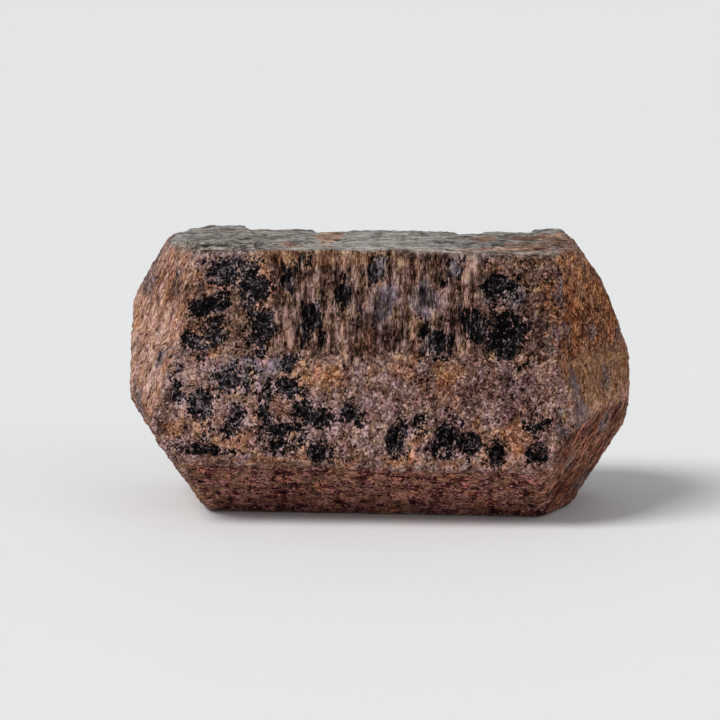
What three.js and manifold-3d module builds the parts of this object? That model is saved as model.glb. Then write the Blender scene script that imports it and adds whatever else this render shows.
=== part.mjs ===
// Vesuvianite: one stout crystal with both ends grown to points and worn blunt, lying on a long face.
//
// Millimetres, +Z up.  The long axis of the crystal runs along X and its broad front looks along -Y.
// The origin is under the middle of the crystal, on the face that it rests on.
//
// A face is a plane.  A convex body is what lies inside a list of such planes, and the crystal is two
// of these bodies grown together, an upper one and a lower one that stands out in front of it as a
// ledge.  Thin growth sheets and lumps are then added, and grooves, hollows and chips cut away.

import * as THREE from "three";
import { ConvexGeometry } from "three/addons/geometries/ConvexGeometry.js";
import { mergeVertices } from "three/addons/utils/BufferGeometryUtils.js";
import Module from "manifold-3d";

const wasm = await Module();
wasm.setup();

// ---------------------------------------------------------------- driving dimensions

const HEIGHT = 35.8; // resting face to top face
const RIGHT_TIP = 33.5; // blunt right end
const LEFT_TIP = -32.4; // blunt left end
const BACK = 16.5; // back face
const CREST = -17.3; // where the lower front stands out furthest
const LEDGE_HEIGHT = 22.7; // ledge between the two front faces
const CREST_HEIGHT = 20.2; // the height at which the front faces are measured
const PANEL_SINK = 0.45; // how far the upper front lies behind the lower one
const PRISM_REACH_RIGHT = 24; // where the prism ends and the right pyramid begins
const PRISM_REACH_LEFT = -25.5; // the same on the left
const PYRAMID_SLOPE = 34; // degrees between the long axis and the normal of a pyramid face

const EDGE_WEAR = 0.28; // how far a worn edge is set back
const SHEET_THICKNESS = 0.45; // one growth sheet
const GROOVE_DEPTH = 0.3; // a growth groove
const CHIP_RADIUS = 0.9; // a chip on an edge

// ---------------------------------------------------------------- seeded variation

const SEED = 7;
let randomState = SEED;

function random() {
  randomState = (randomState * 1664525 + 1013904223) % 4294967296;
  return randomState / 4294967296;
}

function between(low, high) {
  return low + (high - low) * random();
}

// ---------------------------------------------------------------- faces

const point = (x, y, z) => new THREE.Vector3(x, y, z);
const LONG_AXIS = point(1, 0, 0);

// A face through a point, with its outward normal.
function face(normal, through) {
  const unit = normal.clone().normalize();
  return { normal: unit, offset: unit.dot(through) };
}

// The direction across the long axis at a turn in degrees: 0 front, 90 top, 180 back, -90 underneath.
function across(turn) {
  const angle = THREE.MathUtils.degToRad(turn);
  return point(0, -Math.cos(angle), Math.sin(angle));
}

// A face of the prism, parallel to the long axis unless it is skewed a little.
function prismFace(turn, through, skew = 0) {
  return face(across(turn).add(point(skew, 0, 0)), through);
}

// A face of the pyramid on the right end (side 1) or the left end (side -1).
function pyramidFace(side, slope, turn, through) {
  const angle = THREE.MathUtils.degToRad(slope);
  const normal = across(turn).multiplyScalar(Math.sin(angle));
  normal.x = side * Math.cos(angle);
  return face(normal, through);
}

const faces = {
  top: prismFace(90, point(0, 0, HEIGHT)),
  rest: prismFace(-90, point(0, 0, 0)),
  underFront: prismFace(-48, point(0, -16.2, 7.6), -0.03),
  back: prismFace(180, point(0, BACK, 0)),
  backTop: prismFace(135, point(0, BACK, 22.6)),
  backUnder: prismFace(-135, point(0, BACK, 4.1)),

  upperFront: prismFace(4, point(0, CREST + PANEL_SINK, CREST_HEIGHT)),
  lowerFront: prismFace(-4.5, point(0, CREST, CREST_HEIGHT)),
  ledge: face(point(0.022, -0.12, 0.99), point(0, CREST, LEDGE_HEIGHT)),

  rightTop: pyramidFace(1, 38, 90, point(25.3, 0, HEIGHT)),
  rightBrow: pyramidFace(1, 23, 90, point(30.2, 0, 28.6)),
  rightFront: pyramidFace(1, PYRAMID_SLOPE - 1, 6, point(22.9, CREST + PANEL_SINK, CREST_HEIGHT)),
  rightCheek: pyramidFace(1, PYRAMID_SLOPE + 1, 26, point(23.5, CREST, CREST_HEIGHT - 0.4)),
  rightUnder: pyramidFace(1, 38, -46, point(22, -12.1, 3.6)),
  rightRest: pyramidFace(1, PYRAMID_SLOPE - 1, -90, point(26.1, 0, 0)),
  rightBack: pyramidFace(1, PYRAMID_SLOPE + 1, 180, point(PRISM_REACH_RIGHT, BACK, 0)),
  rightBackTop: pyramidFace(1, PYRAMID_SLOPE, 138, point(PRISM_REACH_RIGHT + 1.5, BACK, 22.6)),
  rightBlunt: face(point(1, 0, 0), point(RIGHT_TIP, 0, 0)),

  leftTop: pyramidFace(-1, 32, 90, point(-27.6, 0, HEIGHT)),
  leftFront: pyramidFace(-1, PYRAMID_SLOPE - 1, 24, point(-26.6, CREST + PANEL_SINK, CREST_HEIGHT)),
  leftCheek: pyramidFace(-1, PYRAMID_SLOPE - 1, 24, point(-27.2, CREST, CREST_HEIGHT + 0.6)),
  leftUnder: pyramidFace(-1, PYRAMID_SLOPE, -75, point(-25.2, -16.2, 6.6)),
  leftRest: pyramidFace(-1, PYRAMID_SLOPE - 1, -90, point(-24, 0, 0)),
  leftBack: pyramidFace(-1, PYRAMID_SLOPE + 1, 180, point(PRISM_REACH_LEFT + 1, BACK, 0)),
  leftBackTop: pyramidFace(-1, PYRAMID_SLOPE, 142, point(PRISM_REACH_LEFT - 0.5, BACK, 22.6)),
  leftBlunt: face(point(-1, 0, 0), point(LEFT_TIP, 0, 0)),
};

const LOWER_ONLY = ["lowerFront", "ledge", "rightCheek", "leftCheek"];
const UPPER_ONLY = ["upperFront", "rightFront", "leftFront"];

function facesWithout(names) {
  return Object.entries(faces).filter(([name]) => !names.includes(name)).map(([, plane]) => plane);
}

const upperFaces = facesWithout(LOWER_ONLY);
const lowerFaces = facesWithout(UPPER_ONLY);

// ---------------------------------------------------------------- convex bodies

const ON_PLANE = 1e-5; // how near a corner lies to its faces

const heightOver = (plane, spot) => plane.normal.dot(spot) - plane.offset;

// The corner where three planes meet, or null where they don't.
function meeting(a, b, c) {
  const turned = new THREE.Matrix3().set(
    a.normal.x, a.normal.y, a.normal.z,
    b.normal.x, b.normal.y, b.normal.z,
    c.normal.x, c.normal.y, c.normal.z,
  );
  if (Math.abs(turned.determinant()) < ON_PLANE) return null;
  return point(a.offset, b.offset, c.offset).applyMatrix3(turned.invert());
}

// Every corner of the body that lies inside all the planes.
function cornersInside(planes) {
  const corners = [];
  for (let i = 0; i < planes.length; i += 1) {
    for (let j = i + 1; j < planes.length; j += 1) {
      for (let k = j + 1; k < planes.length; k += 1) {
        const corner = meeting(planes[i], planes[j], planes[k]);
        if (corner === null || planes.some((plane) => heightOver(plane, corner) > ON_PLANE)) continue;
        if (!corners.some((other) => other.distanceTo(corner) < ON_PLANE)) corners.push(corner);
      }
    }
  }
  return corners;
}

// The edges of a body: the two faces that meet there and the ends of the edge.
function edgesOf(planes) {
  const corners = cornersInside(planes);
  const edges = [];
  planes.forEach((a, i) => {
    planes.slice(i + 1).forEach((b) => {
      const ends = corners.filter(
        (corner) => Math.abs(heightOver(a, corner)) < ON_PLANE && Math.abs(heightOver(b, corner)) < ON_PLANE,
      );
      if (ends.length === 2) edges.push({ a, b, ends });
    });
  });
  return edges;
}

// Planes that take a narrow strip off each sharp edge.
function wearOn(planes) {
  const nearlyFlush = Math.cos(THREE.MathUtils.degToRad(18));
  return edgesOf(planes)
    .filter(({ a, b }) => a.normal.dot(b.normal) < nearlyFlush)
    .map(({ a, b, ends }) => {
      const normal = a.normal.clone().add(b.normal).normalize();
      const setBack = EDGE_WEAR * between(0.5, 1.5);
      return face(normal, ends[0].clone().addScaledVector(normal, -setBack));
    });
}

// ---------------------------------------------------------------- solids

function solidOf(geometry) {
  const bare = geometry.clone();
  bare.deleteAttribute("normal");
  bare.deleteAttribute("uv");
  const merged = mergeVertices(bare, 1e-5);
  return new wasm.Manifold(
    new wasm.Mesh({
      numProp: 3,
      vertProperties: new Float32Array(merged.attributes.position.array),
      triVerts: new Uint32Array(merged.index.array),
    }),
  );
}

const hullOf = (corners) => solidOf(new ConvexGeometry(corners));

function geometryOf(solid) {
  const mesh = solid.getMesh();
  const geometry = new THREE.BufferGeometry();
  geometry.setAttribute("position", new THREE.BufferAttribute(new Float32Array(mesh.vertProperties), 3));
  geometry.setIndex(new THREE.BufferAttribute(new Uint32Array(mesh.triVerts), 1));
  return geometry;
}

// ---------------------------------------------------------------- working on a face

// A spot on a face with the directions there: along (towards +X), up and out.
function seat(plane, x, y, z, turn = 0) {
  const out = plane.normal;
  const along = LONG_AXIS.clone().addScaledVector(out, -out.x).normalize();
  along.applyAxisAngle(out, THREE.MathUtils.degToRad(turn));
  const up = out.clone().cross(along);
  const middle = point(x, y, z);
  middle.addScaledVector(out, -heightOver(plane, middle));
  return { middle, along, up, out };
}

function offsetFrom(spot, along, up, out) {
  return spot.middle
    .clone()
    .addScaledVector(spot.along, along)
    .addScaledVector(spot.up, up)
    .addScaledVector(spot.out, out);
}

const isInside = (planes, spot, margin) => planes.every((plane) => heightOver(plane, spot) < -margin);

// A chance spot on a face of a body, a margin inside its rim and not buried in the other body.
// The margin shrinks a little with each try that fails.
const MOST_TRIES = 2000;

function anySpotOn(plane, planes, turn, margin) {
  const rim = cornersInside(planes).filter((corner) => Math.abs(heightOver(plane, corner)) < ON_PLANE);
  const others = planes.filter((other) => other !== plane);
  for (let tries = 0; tries < MOST_TRIES; tries += 1) {
    const weights = rim.map(() => -Math.log(1 - random()));
    const total = weights.reduce((sum, weight) => sum + weight, 0);
    const spot = point(0, 0, 0);
    rim.forEach((corner, i) => spot.addScaledVector(corner, weights[i] / total));
    const buried = isInside(lowerFaces, spot, 0.05) || isInside(upperFaces, spot, 0.05);
    if (isInside(others, spot, margin * 0.99 ** tries) && !buried) {
      return seat(plane, spot.x, spot.y, spot.z, turn + between(-4, 4));
    }
  }
  throw new Error("no open spot on a face");
}

// ---------------------------------------------------------------- growth shapes

const CUT_ABOVE = 1.6; // a cut starts this far over the face, above any sheet or lump on it
const SHEET_ROOT = 0.6; // a sheet goes this far into the crystal

// A groove with a V section that fades out at both ends; it runs along the spot's along direction.
function groove(spot, length, width, depth) {
  const ends = [[length / 2, 0], [-length / 2, 0], [0, width / 2], [0, -width / 2]];
  const rim = ends.flatMap(([along, up]) => [0, CUT_ABOVE].map((out) => offsetFrom(spot, along, up, out)));
  return hullOf([...rim, offsetFrom(spot, 0, 0, -depth)]);
}

// A block with an uneven outline around the spot; each level is a scale of the outline and a height.
function block(spot, sides, halfLength, halfWidth, levels) {
  const corners = [];
  for (let i = 0; i < sides; i += 1) {
    const angle = ((i + between(-0.25, 0.25)) / sides) * 2 * Math.PI;
    const reach = between(0.86, 1.12);
    const along = Math.cos(angle) * halfLength * reach;
    const up = Math.sin(angle) * halfWidth * reach;
    levels.forEach(([scale, height]) => corners.push(offsetFrom(spot, along * scale, up * scale, height)));
  }
  return hullOf(corners);
}

// A hollow with sloping sides, open upwards through whatever lies on the face.
function hollow(spot, halfLength, halfWidth, depth) {
  return block(spot, 5, halfLength, halfWidth, [[1, CUT_ABOVE], [1, 0], [0.5, -depth]]);
}

// A low lump that is rooted in the crystal.
function lump(spot, halfLength, halfWidth, height) {
  return block(spot, 5, halfLength, halfWidth, [[1.1, -height], [0.5, height]]);
}

// A flat growth sheet with steep sides.
function sheet(spot, halfLength, halfWidth, thickness, sides = 6) {
  const topScale = 1 - Math.min(0.4, thickness / halfWidth);
  return block(spot, sides, halfLength, halfWidth, [[1, -SHEET_ROOT], [topScale, thickness]]);
}

// ---------------------------------------------------------------- scattered shapes

const times = (count, make) => Array.from({ length: count }, (_, i) => make(i));

function scatterSheets(plane, planes, count, turn, [shortest, longest], layers) {
  return times(count, () => {
    const halfLength = between(shortest, longest) / 2;
    const spot = anySpotOn(plane, planes, turn, halfLength * 0.4);
    return sheet(spot, halfLength, halfLength * between(0.3, 0.5), layers * SHEET_THICKNESS);
  });
}

function scatterLumps(plane, planes, count, [smallest, largest]) {
  return times(count, () => {
    const radius = between(smallest, largest);
    const spot = anySpotOn(plane, planes, between(0, 180), radius * 0.6);
    return lump(spot, radius, radius * between(0.6, 0.9), radius * between(0.16, 0.28));
  });
}

function scatterHollows(plane, planes, count, [smallest, largest]) {
  return times(count, () => {
    const radius = between(smallest, largest);
    const spot = anySpotOn(plane, planes, between(0, 180), radius * 0.5);
    return hollow(spot, radius, radius * between(0.5, 0.9), radius * between(0.22, 0.34));
  });
}

function scatterGrooves(plane, planes, count, turn, [shortest, longest], depth) {
  return times(count, () => {
    const length = between(shortest, longest);
    const spot = anySpotOn(plane, planes, turn, 0.5);
    return groove(spot, length, between(0.5, 1.1), depth * GROOVE_DEPTH * between(0.6, 1.3));
  });
}

// ---------------------------------------------------------------- the upper front

// Hollows where dark mineral lies deeper than the rest: middle x, height z, half width, half height,
// depth in grooves, lean in degrees.
const UPPER_HOLLOWS = [
  [-19.6, 32.4, 2.4, 2.2, 1.6, 10],
  [-16.4, 31.4, 1.4, 2.9, 1.4, 4],
  [-22.2, 28.6, 2.4, 1.1, 1.3, 0],
  [-22.4, 24.9, 2.8, 1.4, 1.3, 0],
  [-15, 25.8, 1.6, 2.7, 1.8, -6],
  [-11.8, 32.1, 0.8, 1.8, 1.3, 0],
  [-8.7, 26.8, 1.2, 3.2, 1.8, -22],
  [-4.8, 30.5, 0.8, 2.3, 1.4, -4],
  [-0.3, 33.2, 1.1, 1.8, 1.5, 0],
  [5.6, 25.4, 0.7, 1.7, 1.2, 0],
  [7.5, 24.6, 1.3, 1.6, 1.5, 0],
  [9.4, 33.6, 1, 0.9, 1.1, 0],
  [15.1, 31.6, 2.4, 1.7, 1.1, 0],
  [12.6, 25.9, 1.9, 1.8, 1.6, 20],
  [16.2, 25.6, 2.2, 2.7, 1.8, -12],
];
const LOWER_HOLLOWS = [
  [-18.6, 19.2, 2.3, 1.6, 1.2, 0],
  [-22.6, 15.9, 1.5, 1.9, 1.4, -8],
  [-18.3, 14.9, 1, 1.3, 1.2, 0],
  [-14.3, 15.4, 0.9, 2.6, 1.3, -14],
  [-11.4, 18, 2, 0.9, 1.3, 10],
  [-9.6, 15, 0.9, 1.7, 1.2, 0],
  [-12.4, 12.8, 2, 0.8, 1.2, 10],
  [-7.3, 14.4, 1.3, 1.5, 1.3, 10],
  [-3.6, 15.4, 1, 1.3, 1.2, 0],
  [2.2, 12, 1.3, 2.2, 1.7, -16],
  [5.1, 14.4, 0.8, 0.9, 1.1, 0],
  [8.4, 11.9, 1.4, 2.3, 1.7, -18],
  [11.6, 11.6, 1.5, 1.4, 1.4, 0],
  [15.1, 10.1, 1.1, 1.2, 1.5, 0],
  [19.9, 10.2, 1.2, 1, 1.4, 0],
  [-7.9, 9.8, 1.2, 1.3, 1.3, 0],
  [-12.9, 11, 1.2, 0.8, 1, 0],
  [-11.4, 21.2, 1.1, 1.5, 1, -20],
  [-22.2, 10.3, 2.6, 0.7, 1.1, 0],
  [19.8, 14.4, 0.8, 0.8, 1, 0],
];

function hollowsAt(plane, hollows) {
  return hollows.map(([x, z, halfWidth, halfHeight, depth, lean]) =>
    hollow(seat(plane, x, CREST, z, lean), halfWidth, halfHeight, depth * GROOVE_DEPTH),
  );
}

// The upper front is ribbed from the ledge to the top.
const RIBS = 14;
const RIBBED_FROM = -24;
const RIBBED_WIDTH = 45;

function ribs() {
  return times(RIBS, (i) => {
    const x = RIBBED_FROM + (i + between(0.1, 0.9)) * (RIBBED_WIDTH / RIBS);
    const spot = seat(faces.upperFront, x, CREST, between(LEDGE_HEIGHT + 2, HEIGHT - 3), 90 + between(-4, 2));
    return groove(spot, between(6, 12), between(0.6, 1.2), GROOVE_DEPTH * between(0.8, 1.5));
  });
}

const upperGrowth = [
  ...scatterSheets(faces.rightFront, upperFaces, 1, 70, [7, 10], 0.6),
  ...scatterSheets(faces.leftFront, upperFaces, 2, -60, [6, 10], 0.6),
  ...scatterLumps(faces.leftFront, upperFaces, 3, [0.8, 1.8]),
  ...scatterLumps(faces.rightFront, upperFaces, 3, [0.8, 1.6]),
];
const upperCuts = [
  ...hollowsAt(faces.upperFront, UPPER_HOLLOWS),
  ...ribs(),
  ...scatterHollows(faces.leftFront, upperFaces, 3, [0.6, 1.3]),
  ...scatterHollows(faces.rightFront, upperFaces, 3, [0.6, 1.3]),
  ...scatterGrooves(faces.rightFront, upperFaces, 3, 62, [4, 10], 0.8),
  ...scatterGrooves(faces.leftFront, upperFaces, 4, -58, [5, 12], 0.9),
];

// ---------------------------------------------------------------- the rest of the crystal

// Loose-edged sheets on the top: middle x, middle y, half length, half width, thickness in sheets.
const TOP_SHEETS = [
  [-17.8, -5.6, 9.4, 8.2, 1.1],
  [-3.5, -1.6, 8, 4.6, 0.5],
  [8.5, -4.2, 11.5, 5.4, 0.55],
  [19.8, -1.8, 5, 4.4, 0.45],
  [3.5, -10.6, 10, 3.4, 0.45],
  [-21.5, -0.6, 5.2, 3.2, 1.5],
];

function topSheets() {
  return TOP_SHEETS.map(([x, y, halfLength, halfWidth, layers]) => {
    const spot = seat(faces.top, x, y, HEIGHT, between(-3, 3));
    return sheet(spot, halfLength, halfWidth, layers * SHEET_THICKNESS, 8);
  });
}

// Low swellings along the ledge, where the lower front curls over.
const RIM_LUMPS = 7;
const RIM_FROM = -22;
const RIM_WIDTH = 44;

function rimLumps() {
  return times(RIM_LUMPS, (i) => {
    const x = RIM_FROM + (i + between(0.2, 0.8)) * (RIM_WIDTH / RIM_LUMPS);
    const spot = seat(faces.lowerFront, x, CREST, LEDGE_HEIGHT - 0.6 - 0.022 * x);
    return lump(spot, between(1.8, 3.4), between(0.7, 1.1), 0.35);
  });
}

// Chips along the edges of a body.
const CHIPS_PER_MM = 0.032;

function chips(planes) {
  return edgesOf(planes).flatMap(({ a, b, ends }) => {
    const out = a.normal.clone().add(b.normal).normalize();
    const along = ends[1].clone().sub(ends[0]).normalize();
    const up = out.clone().cross(along);
    const count = Math.round(ends[0].distanceTo(ends[1]) * CHIPS_PER_MM + between(-0.5, 0.5));
    return times(Math.max(0, count), () => {
      const spot = { middle: ends[0].clone().lerp(ends[1], between(0.04, 0.96)), along, up, out };
      const reach = CHIP_RADIUS * between(0.8, 2.4);
      return hollow(spot, reach, CHIP_RADIUS * between(0.6, 1), CHIP_RADIUS * between(0.35, 0.6));
    });
  });
}

const wholeGrowth = [
  ...topSheets(),
  ...scatterSheets(faces.top, upperFaces, 5, 0, [4, 12], 0.6),
  ...scatterSheets(faces.backTop, upperFaces, 3, 0, [8, 22], 0.7),
  ...scatterSheets(faces.back, upperFaces, 2, 90, [7, 14], 0.6),
  ...scatterSheets(faces.rightUnder, lowerFaces, 2, 52, [9, 12], 0.9),
  ...scatterSheets(faces.underFront, lowerFaces, 2, 0, [10, 24], 0.5),
  ...scatterLumps(faces.lowerFront, lowerFaces, 5, [0.9, 2.2]),
  ...scatterLumps(faces.rightCheek, lowerFaces, 2, [0.7, 1.3]),
  ...scatterLumps(faces.rightBack, upperFaces, 3, [0.8, 1.8]),
  ...scatterLumps(faces.leftBack, upperFaces, 3, [0.8, 1.8]),
  ...rimLumps(),
];
const wholeCuts = [
  ...hollowsAt(faces.lowerFront, LOWER_HOLLOWS),
  ...scatterHollows(faces.underFront, lowerFaces, 5, [0.6, 1.4]),
  ...scatterHollows(faces.rightUnder, lowerFaces, 2, [0.5, 1]),
  ...scatterHollows(faces.back, upperFaces, 7, [0.8, 2.6]),
  ...scatterHollows(faces.backTop, upperFaces, 3, [0.8, 2]),
  ...scatterHollows(faces.leftBack, upperFaces, 2, [0.7, 1.6]),
  ...scatterHollows(faces.rightBack, upperFaces, 2, [0.7, 1.6]),
  ...scatterGrooves(faces.lowerFront, lowerFaces, 5, 88, [3, 7], 0.8),
  ...scatterGrooves(faces.underFront, lowerFaces, 7, 0, [8, 26], 0.8),
  ...scatterGrooves(faces.rightUnder, lowerFaces, 6, 50, [5, 13], 1),
  ...scatterGrooves(faces.rightCheek, lowerFaces, 3, 20, [3, 8], 0.7),
  ...scatterGrooves(faces.top, upperFaces, 4, 0, [8, 26], 0.7),
  ...scatterGrooves(faces.backTop, upperFaces, 5, 0, [8, 26], 1),
  ...scatterGrooves(faces.back, upperFaces, 7, 90, [4, 12], 1),
  ...scatterGrooves(faces.rightBack, upperFaces, 3, 62, [4, 10], 1),
  ...scatterGrooves(faces.leftBack, upperFaces, 3, -62, [4, 10], 1),
  ...chips(upperFaces),
];

// ---------------------------------------------------------------- the crystal

const grow = (solid, pieces) => pieces.reduce((sum, piece) => sum.add(piece), solid);
const cut = (solid, pieces) => pieces.reduce((rest, piece) => rest.subtract(piece), solid);

const upperBody = hullOf(cornersInside([...upperFaces, ...wearOn(upperFaces)]));
const lowerBody = hullOf(cornersInside([...lowerFaces, ...wearOn(lowerFaces)]));
const belowRest = solidOf(new THREE.BoxGeometry(200, 200, 20).translate(0, 0, -10));

const carvedUpper = cut(grow(upperBody, upperGrowth), upperCuts);
const wholeSolid = cut(grow(carvedUpper.add(lowerBody), wholeGrowth), wholeCuts);
const crystalSolid = wholeSolid.subtract(belowRest);

const crystalGeometry = geometryOf(crystalSolid);
crystalGeometry.computeBoundingBox();
const middle = crystalGeometry.boundingBox.getCenter(point(0, 0, 0));
crystalGeometry.translate(-middle.x, -middle.y, -crystalGeometry.boundingBox.min.z);

const crystal = new THREE.Mesh(
  crystalGeometry,
  new THREE.MeshStandardMaterial({ color: 0x6b5248, roughness: 0.6, metalness: 0 }),
);
crystal.name = "crystal";

const model = new THREE.Group();
model.add(crystal);

export default model;
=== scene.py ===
import math

import bpy
import numpy as np
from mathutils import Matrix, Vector, noise


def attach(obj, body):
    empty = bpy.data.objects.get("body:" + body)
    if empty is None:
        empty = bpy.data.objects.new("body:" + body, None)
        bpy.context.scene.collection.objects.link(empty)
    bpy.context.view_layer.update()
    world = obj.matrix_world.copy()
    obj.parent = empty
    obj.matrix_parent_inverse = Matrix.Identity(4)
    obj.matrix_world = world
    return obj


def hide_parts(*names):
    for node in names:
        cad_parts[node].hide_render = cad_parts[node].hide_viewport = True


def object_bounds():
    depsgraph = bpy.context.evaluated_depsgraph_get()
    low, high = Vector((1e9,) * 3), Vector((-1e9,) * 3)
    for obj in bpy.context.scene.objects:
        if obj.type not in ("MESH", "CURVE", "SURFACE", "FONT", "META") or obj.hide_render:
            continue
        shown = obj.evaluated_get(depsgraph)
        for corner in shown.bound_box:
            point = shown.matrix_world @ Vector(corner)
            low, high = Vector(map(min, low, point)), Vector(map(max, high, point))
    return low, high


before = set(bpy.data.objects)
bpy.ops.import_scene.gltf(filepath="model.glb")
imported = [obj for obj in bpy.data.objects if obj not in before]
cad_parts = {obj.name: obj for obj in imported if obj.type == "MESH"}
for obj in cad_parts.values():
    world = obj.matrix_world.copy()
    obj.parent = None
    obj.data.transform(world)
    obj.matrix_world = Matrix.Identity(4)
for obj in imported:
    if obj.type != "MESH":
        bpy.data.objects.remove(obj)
cad_low, cad_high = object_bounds()

MM = 0.001
MIDDLE = Vector((0.55, -0.547, 0))  # middle of the crystal where its faces are measured, in mm

# ---------------------------------------------------------------- the crystal's faces

# Each face: its end (1 right, -1 left, 0 for the prism's own faces), its slope from that end and its
# turn about the long axis in degrees, and a point on it in mm.
FACES = {
    "top": (0, 90, 90, (0, 0, 35.8)),
    "rest": (0, 90, -90, (0, 0, 0)),
    "under_front": (0, 90, -48, (0, -16.2, 7.6)),
    "back": (0, 90, 180, (0, 16.5, 0)),
    "back_top": (0, 90, 135, (0, 16.5, 22.6)),
    "back_under": (0, 90, -135, (0, 16.5, 4.1)),
    "upper_front": (0, 90, 4, (0, -16.85, 20.2)),
    "lower_front": (0, 90, -4.5, (0, -17.3, 20.2)),
    "right_top": (1, 38, 90, (25.3, 0, 35.8)),
    "right_brow": (1, 23, 90, (30.2, 0, 28.6)),
    "right_front": (1, 33, 6, (22.9, -16.85, 20.2)),
    "right_cheek": (1, 35, 26, (23.5, -17.3, 19.8)),
    "right_under": (1, 38, -46, (22, -12.1, 3.6)),
    "right_rest": (1, 33, -90, (26.1, 0, 0)),
    "right_back": (1, 35, 180, (24, 16.5, 0)),
    "right_back_top": (1, 34, 138, (25.5, 16.5, 22.6)),
    "right_blunt": (1, 0, 0, (33.5, 0, 0)),
    "left_top": (-1, 32, 90, (-27.6, 0, 35.8)),
    "left_front": (-1, 33, 24, (-26.6, -16.85, 20.2)),
    "left_cheek": (-1, 33, 24, (-27.2, -17.3, 20.8)),
    "left_under": (-1, 34, -75, (-25.2, -16.2, 6.6)),
    "left_rest": (-1, 33, -90, (-24, 0, 0)),
    "left_back": (-1, 35, 180, (-24.5, 16.5, 0)),
    "left_back_top": (-1, 34, 142, (-26, 16.5, 22.6)),
    "left_blunt": (-1, 0, 0, (-32.4, 0, 0)),
}
TOP = 35.8  # height of the top, and its front and back edge, in mm
TOP_FRONT = -15.8
TOP_BACK = 3.3
LEDGE_HEIGHT = 22.7
ABOVE_LEDGE = ("upper_front", "right_front", "left_front")
BELOW_LEDGE = ("lower_front", "right_cheek", "left_cheek")

# How much of each finish the faces show.
FINISHES = {
    "sheeted_and_sheen": {"top": 1.0, "back_top": 0.7},
    "ribbed": {"upper_front": 1.0, "back": 0.5},
    "banded_and_shaded": {
        "under_front": 1.0, "back_under": 1.0, "rest": 1.0, "right_rest": 0.6, "left_rest": 0.6,
    },
    "pale": {
        "left_front": 1.0, "left_cheek": 1.0, "left_top": 0.9, "left_blunt": 1.0,
        "left_back": 0.6, "left_back_top": 0.7, "left_under": 0.6,
    },
    "rusty": {
        "right_front": 1.0, "right_top": 0.8, "right_brow": 0.9, "right_blunt": 0.8,
        "right_back": 0.6, "right_back_top": 0.8,
    },
    "olive": {"right_cheek": 1.0, "right_back": 0.4},
    "slanted": {"right_under": 1.0, "left_under": 0.3},
}


def face_plane(name):
    """The outward normal of a face and its distance from the origin, in mm."""
    side, slope, turn, on_face = FACES[name]
    slope, turn = math.radians(slope), math.radians(turn)
    out = Vector((
        side * math.cos(slope),
        -math.sin(slope) * math.cos(turn),
        math.sin(slope) * math.sin(turn),
    ))
    return out, out.dot(Vector(on_face) - MIDDLE)


# ---------------------------------------------------------------- patches and tones

# Patches on the front: middle x, height z, half width, half height in mm, lean to the right in degrees.
DARK_PATCHES = [
    (-18.7, 32.6, 3.6, 2.4, 0), (-16.0, 31.0, 1.6, 3.0, 4), (-22.4, 28.7, 2.6, 1.2, 0),
    (-22.2, 24.8, 3.1, 1.5, 0), (-15.0, 25.8, 1.7, 2.8, -4), (-11.8, 32.1, 0.8, 1.8, 0),
    (-8.7, 26.8, 1.1, 3.3, 22), (-4.7, 30.5, 0.8, 2.3, 4), (-0.3, 33.2, 1.1, 1.9, 0),
    (5.6, 25.4, 0.7, 1.7, 0), (7.5, 24.5, 1.3, 1.8, 0), (15.1, 31.6, 2.4, 1.6, 0),
    (12.2, 26.2, 1.7, 2.0, 0), (16.0, 25.4, 2.4, 3.0, 14), (9.4, 33.7, 1.1, 1.0, 0),
    (-10.0, 35.0, 0.6, 0.8, 0),
    (-18.6, 19.6, 2.5, 2.0, 0), (-22.6, 15.9, 1.6, 1.9, 8), (-18.3, 14.9, 1.0, 1.3, 0),
    (-14.4, 15.4, 0.9, 2.8, 14), (-11.6, 18.3, 2.0, 1.0, 0), (-9.4, 15.4, 0.9, 1.8, 0),
    (-12.4, 12.8, 2.2, 0.9, 0), (-7.3, 14.4, 1.5, 1.4, 0), (-3.6, 15.4, 1.1, 1.3, 0),
    (2.4, 12.0, 1.4, 2.2, 16), (5.1, 14.4, 0.9, 0.9, 0), (8.4, 11.8, 1.4, 2.4, 18),
    (11.6, 11.4, 1.6, 1.6, 0), (15.1, 10.1, 1.1, 1.3, 0), (19.9, 10.3, 1.3, 1.1, 0),
    (-7.9, 9.8, 1.3, 1.4, 0), (-12.9, 11.1, 1.3, 0.9, 0), (-11.4, 21.8, 0.9, 1.8, 20),
    (-25.6, 17.6, 1.3, 1.5, 0), (-22.2, 10.3, 3.3, 0.8, 0), (19.8, 14.4, 0.8, 0.8, 0),
]
RUST_PATCHES = [
    (-23.6, 31.5, 0.9, 3.0, 0), (-14.8, 32.5, 0.7, 3.4, -4), (-25.6, 13.5, 1.4, 1.0, 0),
    (-7.0, 20.0, 3.2, 1.8, 0), (24.5, 16.5, 1.0, 1.0, 0), (22.6, 28.5, 1.2, 5.0, 0),
    (8.5, 20.4, 1.6, 2.4, 0), (-13.0, 35.2, 3.0, 0.7, 0), (3.0, 21.0, 2.0, 1.6, 0),
    (17.5, 12.6, 2.6, 1.6, 0), (-20.0, 31.0, 1.9, 0.8, -8), (-13.5, 8.9, 6.0, 0.7, 0),
    (5.0, 8.8, 8.0, 0.5, 0), (-18.5, 11.6, 2.2, 1.2, 0),
]
VIOLET_PATCHES = [
    (0.0, 28.6, 2.2, 2.6, 0), (22.6, 32.0, 0.9, 2.6, 0), (22.2, 24.6, 1.0, 1.8, 0),
    (23.7, 14.6, 1.3, 1.9, 0), (15.5, 30.6, 2.6, 2.0, 0), (-15.5, 21.0, 4.0, 1.4, 0),
    (5.8, 30.0, 1.6, 2.4, 0),
]
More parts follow.
